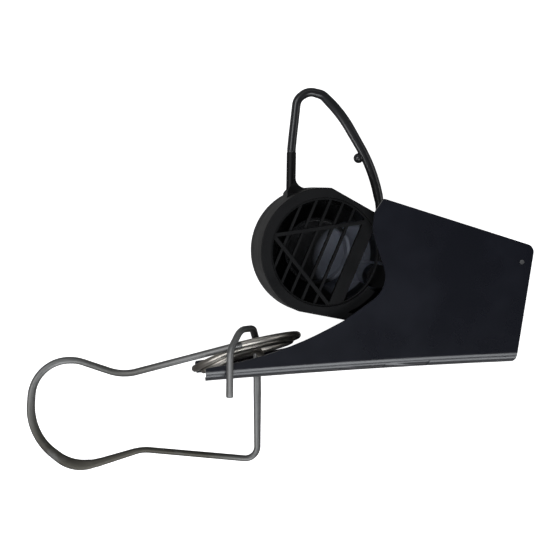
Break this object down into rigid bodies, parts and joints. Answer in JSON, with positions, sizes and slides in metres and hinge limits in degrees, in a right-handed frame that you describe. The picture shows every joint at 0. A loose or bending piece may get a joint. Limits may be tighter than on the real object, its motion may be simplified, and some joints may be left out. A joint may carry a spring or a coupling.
{
  "type": "snap mouse trap",
  "caption": "Snap mouse trap lying on its side: folded black steel channel, drum jaw with bait grille and pull ring, and a wire lever with a flat coil.",
  "frame": {"origin": "on the far wall's outer face, below the channel's rear half, 6 mm in front of and 10 mm above the jaw's pivot", "axes": "+X along the channel floor towards the rear mouth, +Y away from the channel floor towards the pull ring, +Z across the channel from the far wall, on which the trap lies, to the near wall"},
  "size_m": [0.1444, 0.1054, 0.0365],
  "materials": {
    "black_paint": "satin",
    "black_wire": "satin",
    "spring_steel": "semi-bright drawn wire",
    "bright_pin": "bright",
    "black_plastic": "satin",
    "grey_plastic": "matte",
    "pedal_steel": "satin",
    "washer_plastic": "matte"
  },
  "bodies": {
    "channel": {"channel_body": "black_paint", "rear_tie_pin": "bright_pin", "jaw_stop_pin": "black_paint", "jaw_pivot_pin": "black_paint", "trip_pin": "black_paint", "pivot_washers": "washer_plastic", "jaw_spring": "spring_steel"},
    "jaw": {"jaw_arm": "black_plastic", "bait_grille": "black_plastic", "bait_cup": "grey_plastic", "pull_ring": "black_wire", "ring_bead": "black_wire"},
    "pedal": {"trip_pedal": "pedal_steel"},
    "lever": {"lever_wire": "spring_steel", "lever_coil": "spring_steel"}
  },
  "joints": [
    {"name": "jaw_pivot", "type": "hinge", "parent": "channel", "child": "jaw", "pos_m": [0.006, -0.01, 0.017], "axis": [0, 0, -1], "range_deg": [0, 42], "stiffness_Nm_per_rad": 0.05, "springref_deg": -20.05, "deforming": ["jaw_spring"]},
    {"name": "pedal_pivot", "type": "hinge", "parent": "channel", "child": "pedal", "pos_m": [-0.038, -0.0188, 0.017], "axis": [0, 0, 1], "range_deg": [0, 2.4]},
    {"name": "lever_wind", "type": "hinge", "parent": "channel", "child": "lever", "pos_m": [-0.06064, -0.01748, 0.017], "axis": [-0.1614, 0.9752, -0.1513], "range_deg": [0, 30], "stiffness_Nm_per_rad": 0.05, "springref_deg": -11.46, "deforming": ["lever_coil"]}
  ]
}
